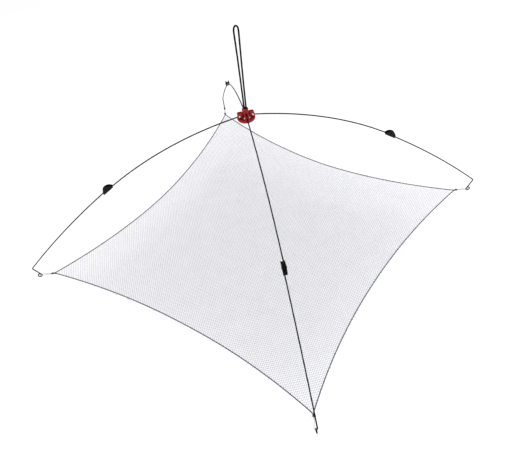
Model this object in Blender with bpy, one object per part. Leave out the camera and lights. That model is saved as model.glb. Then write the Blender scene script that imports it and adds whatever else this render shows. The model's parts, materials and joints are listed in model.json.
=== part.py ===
"""Folding crab trap: a square lift net spread by four spring-steel arms on a moulded hub.

Metres, +Z up. The origin is where the haul line bears, at the top of the cord loop, and the arms
point along -Y, +X, +Y and -X. Each arm is a flat figure in its own plane: r runs out from the
hub's axis, z runs up, and t runs across the plane, anticlockwise seen from above.
"""

import math

import bmesh
import bpy
from mathutils import Matrix, Vector

# Arms: name and azimuth in degrees
ARMS = (("front", -90.0), ("right", 0.0), ("back", 90.0), ("left", 180.0))

# Overall layout
ROD_LINE_Z = -0.2193  # height at which the arms leave the hub, below the haul point
GAP = 0.0003  # between pieces that touch
WIRE = 0.0015  # radius of the spring-steel wire

# Inner rod, from the hub pin to the fold pin
ROOT_R = 0.0145
ROOT_HEADING = -9.0
JOINT_HEADING = -35.3
INNER_LENGTH = 0.3665
CURL = 0.0032  # centre-line radius of the wire's curled end round a pin
CURL_SWEEP = 280.0

# Outer rod, from the fold pin to the eye that holds the net
OUTER_LENGTH = 0.331
TIP_HEADING = -45.3
LANE = -0.0035  # the outer rod lies this far to one side, so that it folds past the inner rod
EYE_OFFSET = (-0.011, -0.0297)  # from the tip's bend to the middle of the eye
EYE = 0.005
BEND = 0.004

# Pins
PIN = 0.0014
PIN_HEAD = 0.0026
PIN_HEAD_DEPTH = 0.0012

# Half-moon joint housing
MOON_HALF_LENGTH = 0.016
MOON_TOP = 0.011
MOON_BOTTOM = -0.0027
CHEEK = 0.001
SIDE_ROOM = 0.0004  # between a rod and the cheek beside it
FLOOR_START = -0.014
TUNNEL_END = -0.0053

# Hub
HUB_RADIUS = 0.021
HUB_BOTTOM = -0.0085
HUB_TOP = -0.0029
LUG_START, LUG_END = 0.0082, 0.0198
LUG_INNER, LUG_OUTER = 0.0019, 0.0058
LUG_TOP = 0.0092
BOSS_RADIUS = 0.0072
BOSS_TOP = 0.020
CORD_BORE = 0.0046

# Haul loop, in the plane of the side arms: x and height above the rod line
LOOP_CORD = 0.002
LOOP_ROUTE = (
    (-0.0022, -0.0088), (-0.0022, 0.0055), (-0.0022, 0.020), (-0.0026, 0.058),
    (-0.0031, 0.100), (-0.0037, 0.144), (-0.0045, 0.184), (-0.0050, 0.204),
    (-0.0048, 0.2130), (-0.0030, 0.2192), (0.0, 0.2213), (0.0032, 0.2190),
    (0.0049, 0.2122), (0.0049, 0.198), (0.0042, 0.165), (0.0034, 0.120),
    (0.0027, 0.072), (0.0022, 0.020), (0.0022, 0.0055), (0.0022, -0.0088),
)
KNOT_RADIUS = 0.0075
KNOT_HEIGHT = 0.011

# Net
NET_CORNER_R = 0.554  # from the axis to a corner of the spread net
EDGE_DRAW = 0.133  # how far each edge is drawn in, as a share of half the side
CENTRE_DROP = 0.018  # the middle hangs this far below the corners
NET_PLATE = 0.001
NET_CELLS = 10
SEAM_CLEAR = 0.0004  # share of half the side kept free along each seam between quarters
EDGE_CLEAR = 0.0045  # and inside the border cord
CORNER_REACH = 1.004  # the border cord turns just outside the net's corner
BORDER_CORD = 0.0011
TIE_CORD = 0.0006


def clear_scene():
    for thing in list(bpy.data.objects):
        bpy.data.objects.remove(thing, do_unlink=True)


def material(name, colour, roughness, metallic=0.0):
    made = bpy.data.materials.new(name)
    made.use_nodes = True
    shader = made.node_tree.nodes["Principled BSDF"]
    shader.inputs["Base Color"].default_value = (*colour, 1.0)
    shader.inputs["Roughness"].default_value = roughness
    shader.inputs["Metallic"].default_value = metallic
    return made


def direction(degrees):
    angle = math.radians(degrees)
    return Vector((math.cos(angle), math.sin(angle)))


def arm_matrix(azimuth):
    """Takes (r, t, z above the rod line) of one arm to the world."""
    return Matrix.Translation((0, 0, ROD_LINE_Z)) @ Matrix.Rotation(math.radians(azimuth), 4, "Z")


# ---- the arm's centre lines, as (r, z) above the rod line ----


def bow(start, heading, end_heading, length, steps):
    """Points along a rod that turns evenly from one heading to the other."""
    turn = math.radians(end_heading - heading)
    radius = length / turn
    centre = start + radius * direction(heading + 90)
    return [centre + radius * direction(heading - 90 + (end_heading - heading) * i / steps)
            for i in range(steps + 1)]


def curl(centre, radius, start_angle, sweep, steps):
    return [centre + radius * direction(start_angle + sweep * i / steps) for i in range(steps + 1)]


def arm_line():
    """The places that every piece of an arm is built from."""
    root = Vector((ROOT_R, 0.0))
    inner = bow(root, ROOT_HEADING, JOINT_HEADING, INNER_LENGTH, 12)
    joint = inner[-1]
    outer = bow(joint, JOINT_HEADING, TIP_HEADING, OUTER_LENGTH, 7)
    tip = outer[-1]
    eye = tip + Vector(EYE_OFFSET)
    reach = (eye - tip).length
    stem_heading = math.degrees(math.atan2(EYE_OFFSET[1], EYE_OFFSET[0]) - math.asin(EYE / reach))
    return {
        "inner": inner,
        "outer": outer,
        "joint": joint,
        "tip": tip,
        "eye": eye,
        "stem_heading": stem_heading,
        "hub_pin": root + CURL * direction(ROOT_HEADING + 90),
        "fold_pin": joint + CURL * direction(JOINT_HEADING + 90),
    }


def rounded_corner(before, corner, after, radius, steps):
    """An arc that replaces the corner between two straight runs."""
    back = (before - corner).normalized()
    ahead = (after - corner).normalized()
    half = 0.5 * back.angle(ahead)
    middle = corner + (back + ahead).normalized() * radius / math.sin(half)
    first = corner + back * radius / math.tan(half) - middle
    last = corner + ahead * radius / math.tan(half) - middle
    sweep = last.angle_signed(first)
    return [middle + Matrix.Rotation(sweep * i / steps, 2) @ first for i in range(steps + 1)]


def inner_rod_line(arm):
    hub_end = curl(arm["hub_pin"], CURL, ROOT_HEADING - 90, -CURL_SWEEP, 12)
    fold_end = curl(arm["fold_pin"], CURL, JOINT_HEADING - 90, CURL_SWEEP, 12)
    return hub_end[:0:-1] + arm["inner"] + fold_end[1:]


def outer_rod_line(arm):
    fold_end = curl(arm["fold_pin"], CURL, JOINT_HEADING - 90, -CURL_SWEEP, 12)
    stem = direction(arm["stem_heading"])
    side = direction(arm["stem_heading"] + 90)
    eye_start = arm["eye"] - EYE * side
    bend = rounded_corner(arm["outer"][-2], arm["tip"], eye_start, BEND, 4)
    eye = curl(arm["eye"], EYE, arm["stem_heading"] - 90, CURL_SWEEP + 12, 14)
    return fold_end[:0:-1] + arm["outer"][:-1] + bend + [eye_start - 0.004 * stem] + eye


# ---- mesh and curve helpers ----


def finish(bm, name, surface, matrix=None, smooth=35.0):
    if matrix is not None:
        bm.transform(matrix)
    bmesh.ops.recalc_face_normals(bm, faces=bm.faces)
    mesh = bpy.data.meshes.new(name)
    bm.to_mesh(mesh)
    bm.free()
    mesh.materials.append(surface)
    mesh.shade_smooth()
    mesh.set_sharp_from_angle(angle=math.radians(smooth))
    piece = bpy.data.objects.new(name, mesh)
    bpy.context.scene.collection.objects.link(piece)
    return piece


def tube(name, points, radius, surface, matrix, sides=8):
    """A round cord or wire through the points, with flat ends."""
    curve = bpy.data.curves.new(name, "CURVE")
    curve.dimensions = "3D"
    curve.bevel_depth = radius
    curve.bevel_resolution = (sides - 4) // 2
    curve.use_fill_caps = True
    spline = curve.splines.new("POLY")
    spline.points.add(len(points) - 1)
    for knot, place in zip(spline.points, points):
        knot.co = (*(matrix @ Vector(place)), 1.0)
    curve.materials.append(surface)
    piece = bpy.data.objects.new(name, curve)
    bpy.context.scene.collection.objects.link(piece)
    return piece


def turned(profile, steps):
    """A bmesh turned about Z from (radius, height) points, closed at both ends on the axis."""
    bm = bmesh.new()
    rings = []
    for radius, height in profile:
        ring = [bm.verts.new((radius * math.cos(2 * math.pi * i / steps),
                              radius * math.sin(2 * math.pi * i / steps), height))
                for i in range(steps)]
        rings.append(ring)
    for low, high in zip(rings, rings[1:]):
        for i in range(steps):
            j = (i + 1) % steps
            bm.faces.new((low[i], low[j], high[j], high[i]))
    bm.faces.new(rings[0][::-1])
    bm.faces.new(rings[-1])
    return bm


def plate(outline, low, high):
    """A bmesh of an (r, z) outline, extruded across t from low to high."""
    bm = bmesh.new()
    face = bm.faces.new([bm.verts.new((r, low, z)) for r, z in outline])
    grown = bmesh.ops.extrude_face_region(bm, geom=[face])
    moved = [v for v in grown["geom"] if isinstance(v, bmesh.types.BMVert)]
    bmesh.ops.translate(bm, verts=moved, vec=(0, high - low, 0))
    return bm


def cylinder(radius, start, end, steps):
    """A bmesh cylinder between two points."""
    axis = end - start
    bm = turned([(radius, 0.0), (radius, axis.length)], steps)
    bm.transform(Matrix.Translation(start) @ axis.to_track_quat("Z", "Y").to_matrix().to_4x4())
    return bm


def combine(base, others, operation):
    """Unites others with base, or cuts them from it, and leaves one plain mesh."""
    for other in others:
        cutter = other
        cutter.hide_render = True
        cutter.display_type = "WIRE"
        change = base.modifiers.new(operation.lower(), "BOOLEAN")
        change.operation = operation
        change.solver = "EXACT"
        change.object = cutter
    bpy.context.view_layer.update()
    shape = bpy.data.meshes.new_from_object(base.evaluated_get(bpy.context.evaluated_depsgraph_get()))
    base.modifiers.clear()
    base.data = shape
    for other in others:
        bpy.data.objects.remove(other, do_unlink=True)
    return base


def smooth_route(route, spacing, least):
    """Points read off the smooth curve through a route."""
    ends = [2 * route[0] - route[1]] + route + [2 * route[-1] - route[-2]]
    points = []
    for a, b, c, d in zip(ends, ends[1:], ends[2:], ends[3:]):
        steps = max(least, round((c - b).length / spacing))
        for i in range(steps):
            s = i / steps
            points.append(0.5 * (2 * b + (c - a) * s + (2 * a - 5 * b + 4 * c - d) * s * s
                                 + (3 * b - a - 3 * c + d) * s ** 3))
    return points + [route[-1]]


# ---- pieces ----


def hub_body(surface, pin_line):
    """Round base, a knob that the haul loop comes through, and a pair of lugs for each arm."""
    rim = [(HUB_RADIUS - 0.0018, HUB_BOTTOM), (HUB_RADIUS - 0.0004, HUB_BOTTOM + 0.0008),
           (HUB_RADIUS, HUB_BOTTOM + 0.0022), (HUB_RADIUS, HUB_TOP - 0.0008),
           (HUB_RADIUS - 0.0008, HUB_TOP)]
    base = finish(turned(rim, 40), "hub_body", surface)
    knob = [(BOSS_RADIUS, HUB_BOTTOM + 0.002), (BOSS_RADIUS, 0.0135), (BOSS_RADIUS - 0.0009, 0.0145),
            (BOSS_RADIUS - 0.0009, 0.0158), (BOSS_RADIUS, 0.0168), (BOSS_RADIUS - 0.0002, 0.0188),
            (BOSS_RADIUS - 0.0014, BOSS_TOP)]
    added = [finish(turned(knob, 24), "knob", surface)]
    outline = [(LUG_START, HUB_TOP - 0.001), (LUG_END, HUB_TOP - 0.001), (LUG_END, LUG_TOP - 0.004)]
    outline += [(LUG_END - 0.004 + 0.004 * math.sin(a), LUG_TOP - 0.004 + 0.004 * math.cos(a))
                for a in (math.radians(d) for d in (60, 30, 0))]
    outline += [(LUG_START + 0.001, LUG_TOP), (LUG_START, LUG_TOP - 0.001)]
    for name, azimuth in ARMS:
        turn = Matrix.Rotation(math.radians(azimuth), 4, "Z")
        for side in (-1, 1):
            low, high = sorted((side * LUG_INNER, side * LUG_OUTER))
            added.append(finish(plate(outline, low, high), "lug", surface, turn))
    combine(base, added, "UNION")
    cutters = [finish(cylinder(CORD_BORE, Vector((0, 0, -0.02)), Vector((0, 0, 0.03)), 24), "bore", surface)]
    reach = Vector((0, LUG_OUTER + 0.001, 0))
    for name, azimuth in ARMS:
        turn = Matrix.Rotation(math.radians(azimuth), 4, "Z")
        middle = Vector((pin_line.x, 0, pin_line.y))
        cutters.append(finish(cylinder(PIN + GAP, middle - reach, middle + reach, 12), "hole", surface, turn))
    combine(base, cutters, "DIFFERENCE")
    base.data.transform(Matrix.Translation((0, 0, ROD_LINE_Z)))
    return base


def pin(name, middle, low, high, surface, matrix):
    """A riveted pin across t, with a domed head outside each cheek."""
    profile = [(PIN_HEAD - 0.0007, low - GAP - PIN_HEAD_DEPTH), (PIN_HEAD, low - GAP - 0.5 * PIN_HEAD_DEPTH),
               (PIN_HEAD, low - GAP), (PIN, low - GAP), (PIN, high + GAP), (PIN_HEAD, high + GAP),
               (PIN_HEAD, high + GAP + 0.5 * PIN_HEAD_DEPTH), (PIN_HEAD - 0.0007, high + GAP + PIN_HEAD_DEPTH)]
    place = Matrix.Translation((middle.x, 0, middle.y)) @ Matrix.Rotation(math.radians(-90), 4, "X")
    return finish(turned(profile, 12), name, surface, matrix @ place)


def joint_housing(name, joint, surface, matrix):
    """A half-moon channel, open on top: two cheeks, a floor that stops the outer rod, and a tunnel."""
    rise = MOON_TOP - MOON_BOTTOM
    radius = (MOON_HALF_LENGTH ** 2 + rise ** 2) / (2 * rise)
    middle = MOON_TOP - radius
    spread = math.degrees(math.asin(MOON_HALF_LENGTH / radius))
    arc = [(radius * math.sin(math.radians(a)), middle + radius * math.cos(math.radians(a)))
           for a in (spread * (1 - i / 6) for i in range(13))]
    side_a = WIRE + SIDE_ROOM
    side_b = LANE - WIRE - SIDE_ROOM
    wall = LANE + WIRE + GAP  # the tunnel's side, next to the outer rod's lane
    floor = -WIRE - SIDE_ROOM
    base = finish(plate(arc, side_a, side_a + CHEEK), name, surface)
    block = [(-MOON_HALF_LENGTH + 0.0012, MOON_BOTTOM), (TUNNEL_END, MOON_BOTTOM), (TUNNEL_END, 0.0033),
             (-MOON_HALF_LENGTH + 0.0036, 0.0033), (-MOON_HALF_LENGTH + 0.0022, 0.0026)]
    ramp = [(FLOOR_START, MOON_BOTTOM), (MOON_HALF_LENGTH - 0.0004, MOON_BOTTOM),
            (MOON_HALF_LENGTH - 0.0004, floor - 0.0002), (FLOOR_START, floor)]
    added = [finish(plate(arc, side_b - CHEEK, side_b), "cheek", surface),
             finish(plate(block, wall, side_a + 0.5 * CHEEK), "tunnel", surface),
             finish(plate(ramp, side_b - 0.5 * CHEEK, side_a + 0.5 * CHEEK), "floor", surface)]
    combine(base, added, "UNION")
    along = finish(cylinder(WIRE + SIDE_ROOM, Vector((-0.03, 0, 0)), Vector((TUNNEL_END + 0.001, 0, 0)), 12),
                   "tunnel_bore", surface)
    pin_hole = finish(cylinder(PIN + GAP, Vector((0, -0.015, CURL)), Vector((0, 0.01, CURL)), 12),
                      "pin_hole", surface)
    combine(base, [along, pin_hole], "DIFFERENCE")
    tilt = Matrix.Rotation(math.radians(-JOINT_HEADING), 4, "Y")
    base.data.transform(matrix @ Matrix.Translation((joint.x, 0, joint.y)) @ tilt)
    return base


def net_place(a, b):
    """A point of the spread net in one quarter's frame, from its share of the way to each edge.

    The quarter's corner, a = b = 1, lies on +X, and heights are above the net's middle.
    """
    half = NET_CORNER_R / math.sqrt(2)
    x = half * a * (1 - EDGE_DRAW * (1 - b * b))
    y = half * b * (1 - EDGE_DRAW * (1 - a * a))
    rise = CENTRE_DROP * abs(a * b) ** 1.5
    return Vector(((x + y) / math.sqrt(2), (y - x) / math.sqrt(2), rise))


def slab(columns, name, surface, matrix):
    """A thin plate over the net's surface, from {(i, j): point} and its cells."""
    points, cells = columns
    bm = bmesh.new()
    lift = Vector((0, 0, 0.5 * NET_PLATE))
    top = {k: bm.verts.new(p + lift) for k, p in points.items()}
    low = {k: bm.verts.new(p - lift) for k, p in points.items()}
    for i, j in cells:
        corners = [(i, j), (i + 1, j), (i + 1, j + 1), (i, j + 1)]
        bm.faces.new([top[c] for c in corners])
        bm.faces.new([low[c] for c in corners][::-1])
        for k in range(4):
            a, b = corners[k], corners[(k + 1) % 4]
            step = {0: (0, -1), 1: (1, 0), 2: (0, 1), 3: (-1, 0)}[k]
            if (i + step[0], j + step[1]) not in cells:
                bm.faces.new((top[b], top[a], low[a], low[b]))
    return finish(bm, name, surface, matrix)


def share(i, inset):
    """The i-th grid line's share of the way to the net's edge, kept clear of both neighbours."""
    return inset + (1 - EDGE_CLEAR - inset) * i / NET_CELLS


def net_quarter(name, surface, matrix):
    cells = {(i, j) for i in range(NET_CELLS) for j in range(NET_CELLS)} - {(0, 0)}
    used = {(i + di, j + dj) for i, j in cells for di in (0, 1) for dj in (0, 1)}
    points = {(i, j): net_place(share(i, SEAM_CLEAR), share(j, SEAM_CLEAR)) for i, j in used}
    return slab((points, cells), name, surface, matrix)


def net_middle(surface, matrix):
    edge = share(1, SEAM_CLEAR) - 2 * SEAM_CLEAR
    points = {(i, j): net_place((i - 1) * edge, (j - 1) * edge) for i in range(3) for j in range(3)}
    return slab((points, {(0, 0), (0, 1), (1, 0), (1, 1)}), "net_middle", surface, matrix)


def border_cord(name, surface, matrix):
    """The cord along one quarter's two edges, from the middle of one side to the middle of the next."""
    run = [share(i, SEAM_CLEAR) for i in range(NET_CELLS)]
    corner = net_place(CORNER_REACH, CORNER_REACH)
    points = [net_place(1.0, b) for b in run] + [corner] + [net_place(a, 1.0) for a in run[::-1]]
    return tube(name, points, BORDER_CORD, surface, matrix)


def corner_tie(name, arm, corner_z, surface, matrix):
    """A thin cord from the net's corner, through the rod's eye and back."""
    eye = arm["eye"]
    start = NET_CORNER_R + 0.0058
    side = WIRE + TIE_CORD + GAP + 0.0001
    half = [(start, 0.0009), (start + 0.010, 0.0), (eye.x - 0.0095, LANE + side + 0.0001),
            (eye.x - 0.0055, LANE + side), (eye.x - 0.002, LANE + side)]
    back = [(r, 2 * LANE - t) for r, t in half[:1:-1]] + [(start + 0.010, -0.0024), (start, -0.0009)]
    flat = half + [(eye.x, LANE)] + back
    route = [Vector((r, t, corner_z + (eye.y - corner_z) * (r - start) / (eye.x - start))) for r, t in flat]
    return tube(name, smooth_route(route, 0.006, 2), TIE_CORD, surface, matrix)


def loop_knot(surface):
    """The stopper knot under the hub, in which the loop's two ends are tied."""
    top = HUB_BOTTOM - 2 * GAP - 0.0003
    profile = [(KNOT_RADIUS * math.sin(a), top - 0.5 * KNOT_HEIGHT * (1 + math.cos(a)))
               for a in (math.radians(20 + 20 * i) for i in range(8))]
    return finish(turned(profile, 16), "loop_knot", surface, Matrix.Translation((0, 0, ROD_LINE_Z)))


def build():
    clear_scene()
    red = material("red_nylon", (0.52, 0.02, 0.02), 0.38)
    steel = material("black_spring_steel", (0.018, 0.020, 0.026), 0.42, 0.6)
    rivet = material("bright_rivet", (0.72, 0.72, 0.70), 0.30, 1.0)
    nylon = material("black_nylon", (0.015, 0.015, 0.014), 0.55)
    rope = material("black_braided_cord", (0.012, 0.012, 0.012), 0.85)
    twine = material("pale_twine", (0.62, 0.61, 0.66), 0.70)
    navy = material("navy_border_cord", (0.035, 0.035, 0.10), 0.80)
    netting = material("white_netting", (0.82, 0.81, 0.84), 0.75)

    arm = arm_line()
    hub_body(red, arm["hub_pin"])
    loop = [Vector((x, 0, z)) for x, z in LOOP_ROUTE]
    raised = Matrix.Translation((0, 0, ROD_LINE_Z))
    tube("loop_cord", smooth_route(loop, 0.010, 2), LOOP_CORD, rope, raised)
    loop_knot(rope)
    corner_z = arm["eye"].y + 0.0004
    middle_z = corner_z - CENTRE_DROP
    net_middle(netting, Matrix.Translation((0, 0, ROD_LINE_Z + middle_z)))
    for name, azimuth in ARMS:
        frame = arm_matrix(azimuth)
        lane = frame @ Matrix.Translation((0, LANE, 0))
        spread = frame @ Matrix.Translation((0, 0, middle_z))
        tube("inner_rod_" + name, [(p.x, 0, p.y) for p in inner_rod_line(arm)], WIRE, steel, frame)
        tube("outer_rod_" + name, [(p.x, 0, p.y) for p in outer_rod_line(arm)], WIRE, steel, lane)
        pin("hub_pin_" + name, arm["hub_pin"], -LUG_OUTER, LUG_OUTER, rivet, frame)
        joint_housing("joint_housing_" + name, arm["joint"], nylon, frame)
        pin("fold_pin_" + name, arm["fold_pin"], LANE - WIRE - SIDE_ROOM - CHEEK, WIRE + SIDE_ROOM + CHEEK,
            nylon, frame)
        corner_tie("corner_tie_" + name, arm, corner_z, twine, frame)
        net_quarter("net_quarter_" + name, netting, spread)
        border_cord("border_cord_" + name, navy, spread)


build()
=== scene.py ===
# Folding crab trap: what shows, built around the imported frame
import json
import math

import bmesh
import bpy
import numpy as np
from mathutils import Matrix, Quaternion, Vector


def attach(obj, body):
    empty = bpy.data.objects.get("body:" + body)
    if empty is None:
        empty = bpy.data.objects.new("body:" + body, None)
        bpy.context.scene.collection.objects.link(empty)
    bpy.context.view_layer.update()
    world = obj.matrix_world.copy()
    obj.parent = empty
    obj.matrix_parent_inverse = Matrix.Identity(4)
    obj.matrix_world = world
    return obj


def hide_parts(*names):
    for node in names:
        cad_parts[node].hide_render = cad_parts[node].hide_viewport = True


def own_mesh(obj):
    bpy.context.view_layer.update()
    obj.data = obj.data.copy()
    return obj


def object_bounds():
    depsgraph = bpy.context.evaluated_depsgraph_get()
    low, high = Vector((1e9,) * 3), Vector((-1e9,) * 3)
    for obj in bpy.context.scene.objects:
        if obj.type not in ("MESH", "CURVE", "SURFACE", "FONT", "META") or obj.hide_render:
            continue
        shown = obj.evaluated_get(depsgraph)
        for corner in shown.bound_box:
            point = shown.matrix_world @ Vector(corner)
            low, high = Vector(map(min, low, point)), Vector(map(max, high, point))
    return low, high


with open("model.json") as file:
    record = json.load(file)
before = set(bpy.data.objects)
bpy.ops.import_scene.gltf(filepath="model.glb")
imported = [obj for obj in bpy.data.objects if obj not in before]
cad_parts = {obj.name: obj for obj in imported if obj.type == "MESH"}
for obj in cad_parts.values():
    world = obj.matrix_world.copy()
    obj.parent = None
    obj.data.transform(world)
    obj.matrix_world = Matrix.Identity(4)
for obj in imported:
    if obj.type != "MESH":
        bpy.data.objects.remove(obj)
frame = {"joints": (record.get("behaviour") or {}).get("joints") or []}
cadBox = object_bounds()
print("frame loaded")

arms = {"front": -90, "right": 0, "back": 90, "left": 180}
joints = {j["name"]: j for j in frame["joints"]}


def onRightArm(joint):  # (r, z) of a joint of the arm that lies along +X
    x, _, z = joints[joint]["pos_m"]
    return Vector((x, z))


def direction(degrees):
    return Vector((math.cos(math.radians(degrees)), math.sin(math.radians(degrees))))


def turnTo(azimuth, height=0.0):  # takes (r, t, z) of an arm to the row frame
    return Matrix.Translation((0, 0, height)) @ Matrix.Rotation(math.radians(azimuth), 4, "Z")


# one arm in its own plane, from the frame's joints
hubPin = onRightArm("arm_fold_right")
foldPin = onRightArm("rod_fold_right")
eyeMiddle = onRightArm("tie_swing_right")
netMiddle = onRightArm("net_gather_right").y
rod = {
    "radius": 0.0015, "sides": 14, "curl": 0.0032, "curlSweep": 280, "rootHeading": -9.0,
    "jointHeading": -35.3, "tipHeading": -45.3, "innerLength": 0.3665, "outerLength": 0.331,
    "lane": -0.0035, "eyeOffset": (-0.011, -0.0297), "eye": 0.005, "eyeSweep": 322, "bend": 0.004,
}
root = hubPin - rod["curl"] * direction(rod["rootHeading"] + 90)
elbow = foldPin - rod["curl"] * direction(rod["jointHeading"] + 90)
rodLine = root.y
floorGap = 0.12  # the trap hangs from its loop, clear of the floor


def makeCamera():
    view = {
        "place": (-0.1450, -1.1812, 0.6314), "target": (-0.0111, 0.0014, -0.5895), "roll": -7.06,
        "lens": 44.63, "sensor": 36.0, "nearest": 0.01,
    }
    data = bpy.data.cameras.new("camera")
    data.lens = view["lens"]
    data.sensor_width = view["sensor"]
    data.clip_start = view["nearest"]
    camera = bpy.data.objects.new("camera", data)
    camera.location = view["place"]
    ahead = Vector(view["target"]) - Vector(view["place"])
    roll = Quaternion((0, 0, 1), math.radians(view["roll"]))
    camera.rotation_mode = "QUATERNION"
    camera.rotation_quaternion = ahead.to_track_quat("-Z", "Y") @ roll
    bpy.context.scene.collection.objects.link(camera)
    bpy.context.scene.camera = camera


def softLight(name, place, size, power, colour=(1, 1, 1)):
    data = bpy.data.lights.new(name, "AREA")
    data.shape = "DISK"
    data.size = size
    data.energy = power
    data.color = colour
    lamp = bpy.data.objects.new(name, data)
    lamp.location = place
    lamp.rotation_mode = "QUATERNION"
    lamp.rotation_quaternion = (Vector((0, 0, -0.4)) - Vector(place)).to_track_quat("-Z", "Y")
    bpy.context.scene.collection.objects.link(lamp)


def makeStage():
    stage = {
        "half": 6.0, "colour": (0.93, 0.93, 0.935, 1), "roughness": 0.9, "sky": 0.95,
        "key": {"place": (-1.2, -1.3, 2.2), "size": 1.6, "power": 26.0},
        "fill": {"place": (1.8, -0.4, 1.4), "size": 1.8, "power": 14.0, "colour": (0.96, 0.98, 1.0)},
    }
    half, low = stage["half"], cadBox[0].z - floorGap
    corners = [(x * half, y * half, low) for x, y in ((-1, -1), (1, -1), (1, 1), (-1, 1))]
    mesh = bpy.data.meshes.new("floor")
    mesh.from_pydata(corners, [], [(0, 1, 2, 3)])
    floor = bpy.data.objects.new("floor", mesh)
    bpy.context.scene.collection.objects.link(floor)
    paint = bpy.data.materials.new("pale_floor")
    paint.use_nodes = True
    shader = paint.node_tree.nodes["Principled BSDF"]
    shader.inputs["Base Color"].default_value = stage["colour"]
    shader.inputs["Roughness"].default_value = stage["roughness"]
    mesh.materials.append(paint)
    world = bpy.data.worlds.new("studio")
    world.use_nodes = True
    world.node_tree.nodes["Background"].inputs["Color"].default_value = (1, 1, 1, 1)
    world.node_tree.nodes["Background"].inputs["Strength"].default_value = stage["sky"]
    bpy.context.scene.world = world
    bpy.context.scene.view_settings.view_transform = "Standard"
    for name in ("key", "fill"):
        softLight(name, **stage[name])


makeCamera()
makeStage()
print("camera and light ready")


class Value:  # one shader socket, with the sums written as sums
    def __init__(self, tree, socket):
        self.tree = tree
        self.socket = socket

    def sum(self, operation, other, swapped=False):
        made = self.tree.nodes.new("ShaderNodeMath")
        made.operation = operation
        for slot, term in zip(made.inputs, (other, self) if swapped else (self, other)):
            if isinstance(term, Value):
                self.tree.links.new(term.socket, slot)
            else:
                slot.default_value = term
        return Value(self.tree, made.outputs[0])

    def __add__(self, other):
        return self.sum("ADD", other)

    def __sub__(self, other):
        return self.sum("SUBTRACT", other)

    def __rsub__(self, other):
        return self.sum("SUBTRACT", other, True)

    def __mul__(self, other):
        return self.sum("MULTIPLY", other)

    __radd__ = __add__
    __rmul__ = __mul__


class Paint:  # a material under construction
    def __init__(self, name, **constants):
        self.material = bpy.data.materials.new(name)
        self.material.use_nodes = True
        self.tree = self.material.node_tree
        self.shader = self.tree.nodes["Principled BSDF"]
        for socket, value in constants.items():
            self.shader.inputs[socket.replace("_", " ")].default_value = value

    def node(self, kind, settings=None, output=0, **sockets):
        made = self.tree.nodes.new("ShaderNode" + kind)
        for key, value in (settings or {}).items():
            setattr(made, key, value)
        for key, value in sockets.items():
            numbered = key[0] == "i" and key[1:].isdigit()
            slot = made.inputs[int(key[1:]) if numbered else key.replace("_", " ")]
            if isinstance(value, Value):
                self.tree.links.new(value.socket, slot)
            else:
                slot.default_value = value
        return Value(self.tree, made.outputs[output])

    def object(self):
        return self.node("TexCoord", output="Object")

    def noise(self, scale, detail=3.0, where=None):
        return self.node("TexNoise", Vector=where or self.object(), Scale=scale, Detail=detail)

    def ramp(self, value, low, high):  # 0 below low, 1 above high
        return self.node("MapRange", {"interpolation_type": "SMOOTHSTEP"}, Value=value, From_Min=low,
                         From_Max=high)

    def mix(self, share, first, second):
        first, second = (c if isinstance(c, Value) else (*c, 1) for c in (first, second))
        return self.node("Mix", {"data_type": "RGBA"}, output=2, i0=share, i6=first, i7=second)

    def along(self):  # (distance along a cord in metres, turn round it) from its own map
        spread = self.tree.nodes.new("ShaderNodeSeparateXYZ")
        self.tree.links.new(self.node("UVMap", {"uv_map": "along"}).socket, spread.inputs[0])
        return Value(self.tree, spread.outputs[0]), Value(self.tree, spread.outputs[1])

    def bump(self, height, distance, strength=1.0):
        self.put("Normal", self.node("Bump", Height=height, Distance=distance, Strength=strength))

    def put(self, socket, value):
        self.tree.links.new(value.socket, self.shader.inputs[socket])
        return self


def redNylon():
    paint = Paint("red_nylon", Coat_Weight=0.12, Coat_Roughness=0.12, Specular_IOR_Level=0.22)
    cloud = paint.ramp(paint.noise(160.0), 0.35, 0.7)
    paint.put("Base Color", paint.mix(cloud, (0.20, 0.004, 0.005), (0.30, 0.009, 0.009)))
    paint.put("Roughness", 0.2 + 0.16 * paint.noise(420.0))
    paint.bump(paint.noise(900.0, 2.0), 0.00012, 0.35)
    return paint.material


def brightRivet():
    paint = Paint("bright_rivet", Metallic=1.0)
    marks = paint.noise(700.0, 5.0)
    paint.put("Base Color", paint.mix(marks, (0.62, 0.62, 0.60), (0.86, 0.86, 0.84)))
    paint.put("Roughness", 0.16 + 0.26 * marks)
    paint.bump(marks, 0.0001, 0.3)
    return paint.material


def blackSteel():
    paint = Paint("black_spring_steel", Specular_IOR_Level=0.12)
    patches = paint.ramp(paint.noise(55.0, 4.0), 0.4, 0.75)
    grain = paint.noise(1400.0, 3.0)
    paint.put("Base Color", paint.mix(patches, (0.0015, 0.002, 0.004), (0.004, 0.006, 0.011)))
    paint.put("Roughness", 0.28 + 0.2 * grain)
    paint.bump(grain, 0.00008, 0.4)
    return paint.material


def blackNylon():
    paint = Paint("black_nylon", Specular_IOR_Level=0.16)
    dust = paint.ramp(paint.noise(190.0, 5.0), 0.45, 0.8)
    grain = paint.noise(1900.0, 2.0)
    paint.put("Base Color", paint.mix(dust, (0.0015, 0.0015, 0.0014), (0.008, 0.0075, 0.0065)))
    paint.put("Roughness", 0.38 + 0.22 * grain)
    paint.bump(grain, 0.00012, 0.45)
    return paint.material


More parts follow.
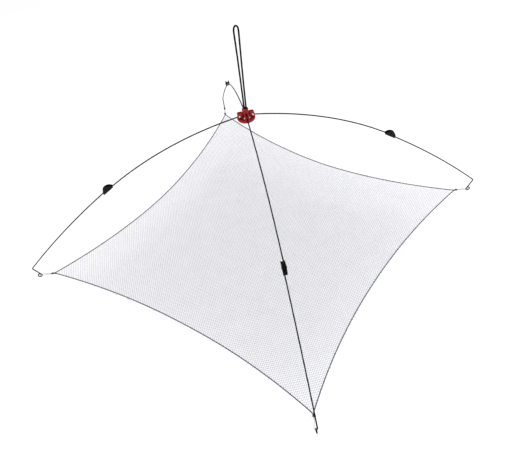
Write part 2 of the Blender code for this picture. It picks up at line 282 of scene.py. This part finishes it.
def cordPaint(name, dark, pale, pitch, turns, roughness, sheen=0.25, shine=0.5):
    # twisted or braided yarn: painted shade in the grooves and a painted highlight on the crowns, mixed with
    # fibre tone; fibres run along the yarn
    paint = Paint(name, Sheen_Weight=sheen, Sheen_Roughness=0.4, Specular_IOR_Level=shine)
    run, turn = paint.along()
    lie = run * (turns / pitch) + turn * turns
    yarn = paint.node("Math", {"operation": "SINE"}, i0=lie * (2 * math.pi))
    hair = paint.noise(2600.0, 4.0)
    # painted light: the strand lay sets painted shade in the grooves and a painted highlight on the crowns,
    # broken up by fibre noise
    painted_crown_light_and_fibre = paint.ramp(yarn * 0.5 + hair * 0.5, 0.0, 0.95)
    paint.put("Base Color", paint.mix(painted_crown_light_and_fibre, dark, pale))
    paint.put("Roughness", roughness + 0.12 * hair)
    paint.bump(hair, 0.0001, 0.5)
    return paint.material


def netTwine():
    paint = Paint("netting_twine", Sheen_Weight=0.2, Sheen_Roughness=0.4)
    age = paint.noise(26.0, 4.0)
    hair = paint.noise(1500.0, 3.0)
    soft = paint.mix(paint.ramp(age, 0.35, 0.7), (0.36, 0.355, 0.43), (0.45, 0.445, 0.52))
    paint.put("Base Color", paint.mix(0.45 * hair, soft, (0.22, 0.215, 0.28)))
    paint.put("Roughness", 0.55 + 0.2 * hair)
    paint.bump(hair, 0.0001, 0.5)
    return paint.material


paints = {
    "red": redNylon(),
    "rivet": brightRivet(),
    "steel": blackSteel(),
    "nylon": blackNylon(),
    # each cord's two colours are its painted groove shade and its painted crown highlight
    "haul": cordPaint("black_braided_cord", (0.0015, 0.0015, 0.002), (0.006, 0.006, 0.007), 0.012, 3, 0.7,
                      sheen=0.0, shine=0.1),
    "tie": cordPaint("pale_twine", (0.16, 0.155, 0.19), (0.36, 0.35, 0.40), 0.004, 2, 0.65),
    "border": cordPaint("navy_border_cord", (0.002, 0.002, 0.010), (0.010, 0.010, 0.035), 0.007, 2, 0.65,
                        sheen=0.0, shine=0.12),
    "lacing": cordPaint("lavender_lacing", (0.15, 0.145, 0.20), (0.34, 0.33, 0.42), 0.003, 2, 0.65),
    "net": netTwine(),
}
print("materials ready")


def newPiece(name, mesh, paint, smooth=None):
    mesh.materials.clear()
    mesh.materials.append(paint)
    if smooth is not None:
        mesh.shade_smooth()
        mesh.set_sharp_from_angle(angle=math.radians(smooth))
    piece = bpy.data.objects.new(name, mesh)
    bpy.context.scene.collection.objects.link(piece)
    return piece


def fromBmesh(bm, name, paint, smooth=32.0, matrix=None):
    if matrix is not None:
        bm.transform(matrix)
    bmesh.ops.recalc_face_normals(bm, faces=bm.faces)
    mesh = bpy.data.meshes.new(name)
    bm.to_mesh(mesh)
    bm.free()
    return newPiece(name, mesh, paint, smooth)


def smoothRoute(route, step):
    # evenly spaced points on the smooth curve through a route
    route = [Vector(p) for p in route]
    ends = [2 * route[0] - route[1]] + route + [2 * route[-1] - route[-2]]
    fine = []
    for a, b, c, d in zip(ends, ends[1:], ends[2:], ends[3:]):
        for i in range(16):
            s = i / 16
            fine.append(0.5 * (2 * b + (c - a) * s + (2 * a - 5 * b + 4 * c - d) * s * s
                               + (3 * b - a - 3 * c + d) * s ** 3))
    return evenly(fine + [route[-1]], step)


def evenly(points, step):
    points = np.array([tuple(p) for p in points])
    run = np.concatenate([[0], np.cumsum(np.linalg.norm(np.diff(points, axis=0), axis=1))])
    stops = np.linspace(0, run[-1], max(2, round(run[-1] / step) + 1))
    return np.stack([np.interp(stops, run, points[:, k]) for k in range(3)], axis=1)


def cordMesh(name, path, radius, paint, sides=12, relief=None, closed=False):
    # a cord, wire or strand along a path; relief(run, turn) scales its radius
    path = np.asarray(path, float)
    count = len(path)
    ahead = np.roll(path, -1, axis=0) - np.roll(path, 1, axis=0)
    if not closed:
        ahead[0] = path[1] - path[0]
        ahead[-1] = path[-1] - path[-2]
    ahead /= np.linalg.norm(ahead, axis=1)[:, None]
    side = np.zeros_like(path)
    start = np.cross(ahead[0], (0, 0, 1) if abs(ahead[0][2]) < 0.8 else (1, 0, 0))
    side[0] = start / np.linalg.norm(start)
    for i in range(1, count):
        carried = side[i - 1] - ahead[i] * (side[i - 1] @ ahead[i])
        side[i] = carried / np.linalg.norm(carried)
    steps = np.linalg.norm(np.diff(path, axis=0), axis=1)
    run = np.concatenate([[0], np.cumsum(steps)])
    if closed:  # the carried frame comes back turned by some angle, which is spread along the run
        back = side[-1] - ahead[0] * (side[-1] @ ahead[0])
        gap = math.atan2(np.cross(back, side[0]) @ ahead[0], back @ side[0])
        lean = gap * np.arange(count)[:, None] / count
        side = side * np.cos(lean) + np.cross(ahead, side) * np.sin(lean)
    up = np.cross(ahead, side)
    turn = np.arange(sides) * 2 * math.pi / sides
    grown = radius * (relief(run[:, None], turn[None, :]) if relief else np.ones((count, sides)))
    if not closed:  # round the ends off
        inside = np.minimum(run, run[-1] - run) / radius
        grown = grown * np.sqrt(np.clip(1 - (1 - np.clip(inside, 0, 1)) ** 2, 0.2, 1))[:, None]
    ring = np.cos(turn)[None, :, None] * side[:, None, :] + np.sin(turn)[None, :, None] * up[:, None, :]
    points = (path[:, None, :] + grown[:, :, None] * ring).reshape(-1, 3)
    rows = count if closed else count - 1
    a = np.arange(rows)[:, None]
    b = (a + 1) % count
    k = np.arange(sides)[None, :]
    n = (k + 1) % sides
    corners = [a * sides + k, a * sides + n, b * sides + n, b * sides + k]
    faces = np.stack(corners, axis=-1).reshape(-1, 4).tolist()
    if not closed:
        faces += [list(range(sides))[::-1], [(count - 1) * sides + k for k in range(sides)]]
    mesh = bpy.data.meshes.new(name)
    mesh.from_pydata(points.tolist(), [], faces)
    runs = np.append(run, run[-1] + (steps[0] if closed else 0))
    u = np.zeros(len(mesh.loops))
    v = np.zeros(len(mesh.loops))
    base = np.repeat(np.arange(rows), sides)
    u[: rows * sides * 4] = runs[np.stack([base, base, base + 1, base + 1], axis=1)].ravel()
    spot = np.tile(np.arange(sides), rows)
    v[: rows * sides * 4] = np.stack([spot, spot + 1, spot + 1, spot], axis=1).ravel() / sides
    layer = mesh.uv_layers.new(name="along")
    layer.data.foreach_set("uv", np.stack([u, v], axis=1).astype(np.float32).ravel())
    mesh.shade_smooth()
    mesh.set_sharp_from_angle(angle=math.radians(60))
    return newPiece(name, mesh, paint)


def twisted(pitch, strands, depth):  # relief of a laid cord
    def relief(run, turn):
        return 1 - depth + depth * np.abs(np.cos(0.5 * strands * (turn + 2 * math.pi * run / pitch)))
    return relief


def braided(pitch, strands, depth):  # relief of a braid, strands crossing both ways
    def relief(run, turn):
        one = np.abs(np.cos(0.5 * strands * (turn + 2 * math.pi * run / pitch)))
        other = np.abs(np.cos(0.5 * strands * (turn - 2 * math.pi * run / pitch)))
        return 1 - depth + depth * np.maximum(one, other)
    return relief


def turned(profile, steps):
    bm = bmesh.new()
    rings = [[bm.verts.new((r * math.cos(2 * math.pi * i / steps), r * math.sin(2 * math.pi * i / steps), z))
              for i in range(steps)] for r, z in profile]
    for low, high in zip(rings, rings[1:]):
        for i in range(steps):
            j = (i + 1) % steps
            bm.faces.new((low[i], low[j], high[j], high[i]))
    bm.faces.new(rings[0][::-1])
    bm.faces.new(rings[-1])
    return bm


def plate(outline, low, high, soften=0.0):
    bm = bmesh.new()
    face = bm.faces.new([bm.verts.new((r, low, z)) for r, z in outline])
    grown = bmesh.ops.extrude_face_region(bm, geom=[face])
    raised = [v for v in grown["geom"] if isinstance(v, bmesh.types.BMVert)]
    bmesh.ops.translate(bm, verts=raised, vec=(0, high - low, 0))
    bmesh.ops.recalc_face_normals(bm, faces=bm.faces)
    if soften:
        bmesh.ops.bevel(bm, geom=bm.edges[:], offset=soften, segments=2, profile=0.5, affect="EDGES",
                        clamp_overlap=True)
    return bm


def rodBetween(radius, start, end, steps):
    bm = turned([(radius, 0.0), (radius, (end - start).length)], steps)
    bm.transform(Matrix.Translation(start) @ (end - start).to_track_quat("Z", "Y").to_matrix().to_4x4())
    return bm


def cutAndJoin(base, joined, cut):
    for other, operation in [(o, "UNION") for o in joined] + [(o, "DIFFERENCE") for o in cut]:
        change = base.modifiers.new("shape", "BOOLEAN")
        change.operation = operation
        change.object = other
    bpy.context.view_layer.update()
    shape = bpy.data.meshes.new_from_object(base.evaluated_get(bpy.context.evaluated_depsgraph_get()))
    for other in joined + cut:
        bpy.data.objects.remove(other, do_unlink=True)
    name, paint = base.name, base.data.materials[0]
    bpy.data.objects.remove(base, do_unlink=True)
    return newPiece(name, shape, paint, 32.0)


def newTree(name, inputs):
    tree = bpy.data.node_groups.new(name, "GeometryNodeTree")
    tree.interface.new_socket("Geometry", in_out="OUTPUT", socket_type="NodeSocketGeometry")
    tree.interface.new_socket("Geometry", in_out="INPUT", socket_type="NodeSocketGeometry")
    for label, kind in inputs.items():
        tree.interface.new_socket(label, in_out="INPUT", socket_type="NodeSocket" + kind)
    given = tree.nodes.new("NodeGroupInput")

    def node(kind, settings=None, **sockets):
        made = tree.nodes.new("GeometryNode" + kind if not kind.startswith("Function") else kind)
        for key, value in (settings or {}).items():
            setattr(made, key, value)
        for key, value in sockets.items():
            slot = made.inputs[key.replace("_", " ")]
            if isinstance(value, bpy.types.NodeSocket):
                tree.links.new(value, slot)
            else:
                slot.default_value = value
        return made

    def close(shape):
        whole = node("RealizeInstances", Geometry=shape)
        dressed = node("SetMaterial", Geometry=whole.outputs[0], Material=given.outputs["paint"])
        tree.links.new(dressed.outputs[0], tree.nodes.new("NodeGroupOutput").inputs[0])
        return tree

    return given.outputs, node, close


def meshTree():
    # threads along every edge given, and a knot on each point marked as one
    inputs, node, close = newTree("knotted_mesh", {"thread": "Float", "knot": "Float", "paint": "Material"})
    lines = node("MeshToCurve", Mesh=inputs["Geometry"])
    section = node("CurvePrimitiveCircle", Resolution=4, Radius=inputs["thread"])
    threads = node("CurveToMesh", Curve=lines.outputs[0], Profile_Curve=section.outputs[0])
    bead = node("MeshUVSphere", Segments=4, Rings=2, Radius=inputs["knot"])
    marked = node("InputNamedAttribute", {"data_type": "BOOLEAN"}, Name="knot")
    knots = node("InstanceOnPoints", Points=inputs["Geometry"], Selection=marked.outputs[0],
                 Instance=bead.outputs[0], Scale=(1.0, 1.0, 0.7))
    whole = node("JoinGeometry")
    for part in (threads, knots):
        whole.id_data.links.new(part.outputs[0], whole.inputs[0])
    return close(whole.outputs[0])


def lacingTree():
    # short wraps of twine round a path, one at every pitch
    kinds = {name: "Float" for name in ("pitch", "turns", "round", "length", "twine")}
    kinds["paint"] = "Material"
    inputs, node, close = newTree("lacing", kinds)
    path = node("MeshToCurve", Mesh=inputs["Geometry"])
    stops = node("CurveToPoints", {"mode": "LENGTH"}, Curve=path.outputs[0], Length=inputs["pitch"])
    coil = node("CurveSpiral", Resolution=9, Rotations=inputs["turns"], Start_Radius=inputs["round"],
                End_Radius=inputs["round"], Height=inputs["length"])
    section = node("CurvePrimitiveCircle", Resolution=5, Radius=inputs["twine"])
    wrap = node("CurveToMesh", Curve=coil.outputs[0], Profile_Curve=section.outputs[0], Fill_Caps=True)
    wraps = node("InstanceOnPoints", Points=stops.outputs["Points"], Rotation=stops.outputs["Rotation"],
                 Instance=wrap.outputs[0])
    return close(wraps.outputs[0])


def throughTree(name, points, edges, tree, settings, marked=()):
    mesh = bpy.data.meshes.new(name + "_lines")
    mesh.from_pydata(points, edges, [])
    if len(marked):
        layer = mesh.attributes.new("knot", "BOOLEAN", "POINT")
        layer.data.foreach_set("value", marked)
    line = bpy.data.objects.new(name + "_lines", mesh)
    bpy.context.scene.collection.objects.link(line)
    change = line.modifiers.new("tree", "NODES")
    change.node_group = tree
    for item in tree.interface.items_tree:
        if item.in_out == "INPUT" and item.name in settings:
            change[item.identifier] = settings[item.name]
    bpy.context.view_layer.update()
    shape = bpy.data.meshes.new_from_object(line.evaluated_get(bpy.context.evaluated_depsgraph_get()))
    bpy.data.objects.remove(line, do_unlink=True)
    shape.shade_smooth()
    return newPiece(name, shape, settings["paint"])


haulBraid = {"pitch": 0.0125, "strands": 8, "depth": 0.1}


def haulLoop():
    # a braided cord that comes up through the hub and goes back
    cord = {"radius": 0.002, "step": 0.0008, "sides": 16}
    route = [  # x, and height above the rods
        (-0.0022, -0.0088), (-0.0022, 0.0055), (-0.0022, 0.020), (-0.0026, 0.058),
        (-0.0031, 0.100), (-0.0037, 0.144), (-0.0045, 0.184), (-0.0050, 0.204),
        (-0.0048, 0.2130), (-0.0030, 0.2192), (0.0, 0.2213), (0.0032, 0.2190),
        (0.0049, 0.2122), (0.0049, 0.198), (0.0042, 0.165), (0.0034, 0.120),
        (0.0027, 0.072), (0.0022, 0.020), (0.0022, 0.0055), (0.0022, -0.0088),
    ]
    path = smoothRoute([(x, 0, z + rodLine) for x, z in route], cord["step"])
    piece = cordMesh("haul_cord", path, cord["radius"], paints["haul"], cord["sides"], braided(**haulBraid))
    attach(piece, "root")
    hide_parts("loop_cord")
    length = float(np.linalg.norm(np.diff(path, axis=0), axis=1).sum())
    knot = haulKnot()
    path[::4].tolist() + [path[-1].tolist()]
    return length


def haulKnot():
    # the stopper: the same cord drawn up in a knot, with its two cut ends below
    knot = {"middle": rodLine - 0.0148, "ring": 0.0034, "weave": 0.0017, "stretch": 1.35, "radius": 0.0019,
            "sides": 16}
    middle = knot["middle"]
    t = np.linspace(0, 2 * math.pi, 150, endpoint=False)
    reach = knot["ring"] + knot["weave"] * np.cos(3 * t)
    rise = middle + knot["stretch"] * knot["weave"] * np.sin(3 * t)
    loop = np.stack([reach * np.cos(2 * t), reach * np.sin(2 * t), rise], axis=1)
    relief = braided(**haulBraid)
    parts = [cordMesh("haul_knot", loop, knot["radius"], paints["haul"], knot["sides"], relief, True)]
    for side in (-1, 1):
        tail = smoothRoute([(side * 0.0022, 0, middle + 0.003), (side * 0.0024, 0.001, middle - 0.004),
                            (side * 0.0042, 0.0016, middle - 0.0085)], 0.0007)
        parts.append(cordMesh("tail", tail, knot["radius"], paints["haul"], knot["sides"], relief))
    piece = joined(parts)
    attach(piece, "root")
    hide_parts("loop_knot")
    return piece


def joined(parts):
    whole = bmesh.new()
    for part in parts:
        whole.from_mesh(part.data)
    mesh = bpy.data.meshes.new(parts[0].name)
    whole.to_mesh(mesh)
    whole.free()
    name, paint = parts[0].name, parts[0].data.materials[0]
    for part in parts:
        bpy.data.objects.remove(part, do_unlink=True)
    return newPiece(name, mesh, paint)


print("haul loop", round(haulLoop(), 4), "m of cord")


net = {
    "cornerR": 0.554, "edgeDraw": 0.133, "centreDrop": 0.018, "meshes": 56, "pointsAThread": 36,
    "thread": 0.00034, "knot": 0.00058, "wave": 0.0016, "wander": 0.0005, "cornerReach": 1.004,
}


def netPlace(a, b):
    # a point of the spread net in a quarter's own frame, from its share of the way to each edge
    half = net["cornerR"] / math.sqrt(2)
    x = half * a * (1 - net["edgeDraw"] * (1 - b * b))
    y = half * b * (1 - net["edgeDraw"] * (1 - a * a))
    rise = net["centreDrop"] * np.clip(a * b, 0, 1) ** 1.5
    return np.stack([(x + y) / math.sqrt(2), (y - x) / math.sqrt(2), rise], axis=-1)


def wornPlace(a, b, phase):
    # the same, with the unevenness of hand-laced netting; it dies out at the seams and edges
    fade = np.clip(np.sin(math.pi * a) * np.sin(math.pi * b), 0, 1) ** 0.6
    place = netPlace(a, b)
    for turn, (p, q) in enumerate(((7.3, 4.1), (11.7, 9.2), (19.1, 23.4))):
        size = net["wander"] / (1 + 0.5 * turn)
        place[..., 0] += fade * size * np.sin(p * a * 3 + q * b + phase + turn)
        place[..., 1] += fade * size * np.sin(q * a - p * b * 3 + 2 * phase + turn)
    waves = np.sin(9 * a + 4 * b + phase) + 0.6 * np.sin(17 * b - 6 * a + 2 * phase)
    waves = waves + 0.4 * np.sin(31 * (a + b) + phase)
    place[..., 2] += fade * net["wave"] * waves
    return place


def inRow(points, matrix):
    turn = np.array(matrix)
    return points @ turn[:3, :3].T + turn[:3, 3]


def netQuarter(name, azimuth, tree, phase):
    # the threads run along and across the arm, and the seams between quarters fall on knots
    count = net["meshes"]
    runs = []
    for k in range(1, 2 * count):
        reach = min(k, 2 * count - k) / count
        far = max(0.0, k / count - 1)
        stops = np.linspace(0, 1, max(3, round(net["pointsAThread"] * reach)))
        a, b = far + reach * stops, far + reach * (1 - stops)
        runs += [(a, b), (1 - a, b)]
    points = np.concatenate([wornPlace(a, b, phase) for a, b in runs])
    ends = np.cumsum([len(a) for a, b in runs]) - 1
    starts = np.setdiff1d(np.arange(len(points)), ends)
    edges = np.stack([starts, starts + 1], axis=1)
    over, across = np.meshgrid(np.arange(2 * count + 1), np.arange(-count, count + 1))
    a, b = (over - across) / (2 * count), (over + across) / (2 * count)
    inside = (a > 0) & (a < 1) & (b >= 0) & (b < 1)
    knots = wornPlace(a[inside], b[inside], phase)
    marked = [False] * len(points) + [True] * len(knots)
    points = inRow(np.concatenate([points, knots]), turnTo(azimuth, netMiddle))
    settings = {"thread": net["thread"], "knot": net["knot"], "paint": paints["net"]}
    return throughTree("net_" + name, points.tolist(), edges.tolist(), tree, settings, marked)


def borderPath(azimuth, step):
    run = np.linspace(0, 1, 60)[:-1]
    one = np.ones_like(run)
    corner = netPlace(np.array([net["cornerReach"]]), np.array([net["cornerReach"]]))
    points = np.concatenate([netPlace(one, run), corner, netPlace(run[::-1], one)])
    return evenly(inRow(points, turnTo(azimuth, netMiddle)), step)


def cornerKnot(name, azimuth):
    # the two border cords and the tie are knotted together just outside the net's corner
    knot = {"start": 0.0012, "length": 0.0075, "turns": 3.4, "round": 0.00125, "cord": 0.0009, "tail": 0.0007}
    place = turnTo(azimuth, netMiddle)
    laid = twisted(0.006, 2, 0.14)
    share = np.linspace(0, 1, 90)
    angle = 2 * math.pi * knot["turns"] * share
    swell = knot["round"] * (0.75 + 0.45 * np.sin(math.pi * share))
    r = net["cornerR"] + knot["start"] + knot["length"] * share
    coil = np.stack([r, swell * np.cos(angle), swell * np.sin(angle) + net["centreDrop"] + 0.0002], axis=1)
    parts = [cordMesh("knot_" + name, inRow(coil, place), knot["cord"], paints["border"], 8, laid)]
    for side in (-1, 1):
        end = net["cornerR"] + knot["start"] + 0.5 * knot["length"]
        route = [(end - 0.002, 0, 0), (end, side * 0.0028, 0.0012), (end + 0.0022, side * 0.0046, 0.0004)]
        tail = smoothRoute(route, 0.0005)
        tail[:, 2] += net["centreDrop"]
        parts.append(cordMesh("tail", inRow(tail, place), knot["tail"], paints["border"], 8, laid))
    return joined(parts)


def strayEnds(name, azimuth, seed):
    # short ends of twine that stand off the border
    stray = {"count": 16, "radius": 0.00032, "longest": 0.0085, "shortest": 0.0035}
    chance = np.random.default_rng(seed)
    path = borderPath(azimuth, 0.003)
    parts = []
    for at in chance.integers(20, len(path) - 20, stray["count"]):
        outward = path[at] - np.array((0, 0, netMiddle))
        outward /= np.linalg.norm(outward)
        along = path[at + 1] - path[at]
        along *= chance.uniform(-1, 1) / np.linalg.norm(along)
        reach = chance.uniform(stray["shortest"], stray["longest"])
        end = path[at] + reach * outward + 0.6 * reach * along + (0, 0, reach * chance.uniform(-0.3, 0.6))
        bend = 0.5 * (path[at] + end) + 0.3 * reach * along
        strand = smoothRoute((path[at], bend, end), 0.0006)
        parts.append(cordMesh("strays_" + name, strand, stray["radius"], paints["lacing"], 5))
    return joined(parts)


def makeNet():
    weave = meshTree()
    lacing = lacingTree()
    laced = {
        "pitch": 0.0098, "turns": 3.5, "round": 0.0014, "length": 0.0034, "twine": 0.0004,
        "paint": paints["lacing"],
    }
    for phase, (name, azimuth) in enumerate(arms.items()):
        panel = netQuarter(name, azimuth, weave, 1.7 * phase)
        border = cordMesh("border_" + name, borderPath(azimuth, 0.0012), 0.0012, paints["border"], 8,
                          twisted(0.007, 2, 0.16))
        path = borderPath(azimuth, 0.003)
        edges = [(i, i + 1) for i in range(len(path) - 1)]
        wraps = throughTree("lacing_" + name, path.tolist(), edges, lacing, laced)
        knot = cornerKnot(name, azimuth)
        strays = strayEnds(name, azimuth, 7 + phase)
        for piece in (panel, border, wraps, knot, strays):
            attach(piece, "net_" + name)
            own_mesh(piece)
        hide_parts("net_quarter_" + name, "net_middle")
        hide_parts("border_cord_" + name)


makeNet()
print("net ready")


def cornerTies():
    tie = {"radius": 0.0006, "start": net["cornerR"] + 0.0058, "step": 0.0005}
    cornerZ = netMiddle + net["centreDrop"]
    lane = rod["lane"]
    side = rod["radius"] + tie["radius"] + 0.0004
    start = tie["start"]
    half = [(start, 0.0009), (start + 0.010, 0.0), (eyeMiddle.x - 0.0095, lane + side + 0.0001),
            (eyeMiddle.x - 0.0055, lane + side), (eyeMiddle.x - 0.002, lane + side)]
    back = [(r, 2 * lane - t) for r, t in half[:1:-1]] + [(start + 0.010, -0.0024), (start, -0.0009)]
    flat = half + [(eyeMiddle.x, lane)] + back
    for name, azimuth in arms.items():
        rise = (eyeMiddle.y - cornerZ) / (eyeMiddle.x - start)
        route = [turnTo(azimuth) @ Vector((r, t, cornerZ + rise * (r - start))) for r, t in flat]
        path = smoothRoute(route, tie["step"])
        piece = cordMesh("tie_cord_" + name, path, tie["radius"], paints["tie"], 8, twisted(0.004, 2, 0.16))
        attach(piece, "tie_" + name)
        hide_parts("corner_tie_" + name)
        length = float(np.linalg.norm(np.diff(path, axis=0), axis=1).sum())
    return length


print("ties", round(cornerTies(), 4), "m each")


def curl(centre, radius, start, sweep, steps):
    return [centre + radius * direction(start + sweep * i / steps) for i in range(steps + 1)]


def bow(start, heading, endHeading, length, steps):
    radius = length / math.radians(endHeading - heading)
    centre = start + radius * direction(heading + 90)
    return curl(centre, radius, heading - 90, endHeading - heading, steps)


def roundedCorner(before, corner, after, radius, steps):
    back = (before - corner).normalized()
    ahead = (after - corner).normalized()
    half = 0.5 * back.angle(ahead)
    middle = corner + (back + ahead).normalized() * radius / math.sin(half)
    first = corner + back * radius / math.tan(half) - middle
    last = corner + ahead * radius / math.tan(half) - middle
    sweep = last.angle_signed(first)
    return [middle + Matrix.Rotation(sweep * i / steps, 2) @ first for i in range(steps + 1)]


def innerLine():
    run = bow(root, rod["rootHeading"], rod["jointHeading"], rod["innerLength"], 90)
    hubEnd = curl(hubPin, rod["curl"], rod["rootHeading"] - 90, -rod["curlSweep"], 28)
    foldEnd = curl(foldPin, rod["curl"], rod["jointHeading"] - 90, rod["curlSweep"], 28)
    return hubEnd[:0:-1] + run + foldEnd[1:]


def outerLine():
    run = bow(elbow, rod["jointHeading"], rod["tipHeading"], rod["outerLength"], 60)
    foldEnd = curl(foldPin, rod["curl"], rod["jointHeading"] - 90, -rod["curlSweep"], 28)
    across, down = rod["eyeOffset"]
    reach = math.hypot(across, down)
    heading = math.degrees(math.atan2(down, across) - math.asin(rod["eye"] / reach))
    eyeStart = eyeMiddle - rod["eye"] * direction(heading + 90)
    bend = roundedCorner(run[-8], run[-1], eyeStart, rod["bend"], 10)
    ring = curl(eyeMiddle, rod["eye"], heading - 90, rod["eyeSweep"], 38)
    return foldEnd[:0:-1] + run[:-1] + bend + [eyeStart - 0.004 * direction(heading)] + ring


def makeRods():
    for kind, line, lane in (("inner", innerLine(), 0.0), ("outer", outerLine(), rod["lane"])):
        points = np.array([(p.x, lane, p.y) for p in line])
        for name, azimuth in arms.items():
            path = inRow(points, turnTo(azimuth))
            piece = cordMesh(f"{kind}_wire_{name}", path, rod["radius"], paints["steel"], rod["sides"])
            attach(piece, f"{kind}_arm_{name}")
            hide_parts(f"{kind}_rod_{name}")


makeRods()
print("rods ready")


moon = {
    "halfLength": 0.016, "top": 0.011, "bottom": -0.0027, "cheek": 0.001, "room": 0.0004, "soft": 0.0002,
    "tunnelEnd": -0.0053, "floorStart": -0.014, "pin": 0.0014, "gap": 0.0003, "rim": 0.0013, "recess": 0.0004,
    "overlap": 0.0005, "facets": 28,
}


def moonOutline(margin):
    half = moon["halfLength"] - margin
    rise = moon["top"] - moon["bottom"] - 2 * margin
    radius = (half ** 2 + rise ** 2) / (2 * rise)
    spread = math.degrees(math.atan2(half, radius - rise))
    middle = moon["top"] - margin - radius
    return [(radius * math.sin(math.radians(a)), middle + radius * math.cos(math.radians(a)))
            for a in (spread * (1 - i / 20) for i in range(41))]


def makeJoints():
    radius = rod["radius"]
    sideA = radius + moon["room"]
    sideB = rod["lane"] - radius - moon["room"]
    wall = rod["lane"] + radius + moon["gap"]
    low, end, thick = moon["bottom"], moon["halfLength"], moon["cheek"]
    near, floor = moon["tunnelEnd"], -radius - moon["room"]
    block = [(-end + 0.0012, low), (near, low), (near, 0.0033), (-end + 0.0036, 0.0033),
             (-end + 0.0022, 0.0026)]
    start = moon["floorStart"]
    ramp = [(start, low), (end - 0.0006, low), (end - 0.0006, floor - 0.0002), (start, floor)]
    tilt = Matrix.Rotation(math.radians(-rod["jointHeading"]), 4, "Y")
    place = Matrix.Translation((elbow.x, 0, elbow.y)) @ tilt
    soft, overlap, facets = moon["soft"], moon["overlap"], moon["facets"]

    def part(label, bm):
        return fromBmesh(bm, label, paints["nylon"])

    for name, azimuth in arms.items():
        base = part("half_moon_" + name, plate(moonOutline(0), sideA, sideA + thick, soft))
        added = [part("cheek", plate(moonOutline(0), sideB - thick, sideB, soft)),
                 part("tunnel", plate(block, wall, sideA + overlap, soft)),
                 part("floor", plate(ramp, sideB - overlap, sideA + overlap))]
        bore = (Vector((-0.03, 0, 0)), Vector((near + 0.001, 0, 0)))
        pinHole = (Vector((0, -0.015, rod["curl"])), Vector((0, 0.01, rod["curl"])))
        cut = [part("bore", rodBetween(radius + moon["room"], *bore, facets)),
               part("pinHole", rodBetween(moon["pin"] + moon["gap"], *pinHole, facets))]
        for outer in (sideA + thick - moon["recess"], sideB - thick - 0.002 + moon["recess"]):  # raised rims
            cut.append(part("recess", plate(moonOutline(moon["rim"]), outer, outer + 0.002)))
        piece = cutAndJoin(base, added, cut)
        piece.data.transform(turnTo(azimuth) @ place)
        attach(piece, "inner_arm_" + name)
        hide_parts("joint_housing_" + name)


def rivet(name, middle, low, high, paint, matrix):
    # a pin across the arm with a domed head at both ends
    size = {"pin": 0.0014, "head": 0.0026, "depth": 0.0012, "gap": 0.0003}
    angles = [math.radians(a) for a in range(0, 86, 12)]
    dome = [(size["head"] * math.cos(a), size["depth"] * math.sin(a)) for a in angles]
    first, last = low - size["gap"], high + size["gap"]
    profile = [(r, first - 0.0002 - d * 0.85) for r, d in dome[::-1]]
    profile += [(size["head"], first), (size["pin"], first), (size["pin"], last), (size["head"], last)]
    profile += [(r, last + 0.0002 + d * 0.85) for r, d in dome]
    place = Matrix.Translation((middle.x, 0, middle.y)) @ Matrix.Rotation(math.radians(-90), 4, "X")
    return fromBmesh(turned(profile, 28), name, paint, 40.0, matrix @ place)


def makePins():
    lug = 0.0058
    reach = rod["radius"] + moon["room"] + moon["cheek"]
    for name, azimuth in arms.items():
        hub = rivet("hub_rivet_" + name, hubPin, -lug, lug, paints["rivet"], turnTo(azimuth))
        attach(hub, "root")
        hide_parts("hub_pin_" + name)
        fold = rivet("fold_rivet_" + name, foldPin, rod["lane"] - reach, reach, paints["nylon"],
                     turnTo(azimuth))
        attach(fold, "inner_arm_" + name)
        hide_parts("fold_pin_" + name)


makeJoints()
makePins()
print("joints ready")


def makeHub():
    hub = {
        "radius": 0.021, "bottom": -0.0085, "top": -0.0029, "foot": 0.0018, "brow": 0.0011,
        "lugFrom": 0.0082, "lugTo": 0.0198, "lugInner": 0.0019, "lugOuter": 0.0058, "lugTop": 0.0092,
        "lugSoft": 0.0004, "corner": 0.004, "knob": 0.0072, "knobTop": 0.020, "bore": 0.0046, "hole": 0.0017,
    }
    wide, low, top, foot, brow = (hub[key] for key in ("radius", "bottom", "top", "foot", "brow"))
    angles = [math.radians(a) for a in range(0, 91, 15)]
    rim = [(wide - foot + foot * math.sin(a), low + foot - foot * math.cos(a)) for a in angles]
    rim += [(wide - brow + brow * math.cos(a), top - brow + brow * math.sin(a)) for a in angles]
    rim += [(wide - 0.0022, top), (wide - 0.0026, top - 0.0005), (0.0095, top - 0.0005)]
    base = fromBmesh(turned(rim, 96), "hub", paints["red"])
    knob = hub["knob"]
    shape = [(knob + 0.0008, top - 0.0012), (knob + 0.0003, top + 0.0004), (knob, top + 0.0014),
             (knob, 0.0132), (knob - 0.0009, 0.0142), (knob - 0.0009, 0.0158), (knob, 0.0167), (knob, 0.0182),
             (knob - 0.0004, 0.0192), (knob - 0.0014, hub["knobTop"])]
    added = [fromBmesh(turned(shape, 56), "knob", paints["red"])]
    r, start, end, high = hub["corner"], hub["lugFrom"], hub["lugTo"], hub["lugTop"]
    angles = [math.radians(a) for a in range(0, 91, 10)]
    outline = [(start, top - 0.001), (end, top - 0.001)]
    outline += [(end - r + r * math.cos(a), high - r + r * math.sin(a)) for a in angles]
    outline += [(start + 0.001, high), (start, high - 0.001)]
    for azimuth in arms.values():
        for side in (-1, 1):
            near, far = sorted((side * hub["lugInner"], side * hub["lugOuter"]))
            lug = plate(outline, near, far, hub["lugSoft"])
            added.append(fromBmesh(lug, "lug", paints["red"], matrix=turnTo(azimuth)))
    bore = rodBetween(hub["bore"], Vector((0, 0, -0.02)), Vector((0, 0, 0.03)), 48)
    cut = [fromBmesh(bore, "bore", paints["red"])]
    middle = Vector((hubPin.x, 0, hubPin.y - rodLine))
    reach = Vector((0, 0.007, 0))
    for azimuth in arms.values():
        hole = rodBetween(hub["hole"], middle - reach, middle + reach, 28)
        cut.append(fromBmesh(hole, "hole", paints["red"], matrix=turnTo(azimuth)))
    piece = cutAndJoin(base, added, cut)
    piece.data.transform(Matrix.Translation((0, 0, rodLine)))
    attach(piece, "root")
    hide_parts("hub_body")


makeHub()
print("hub ready")
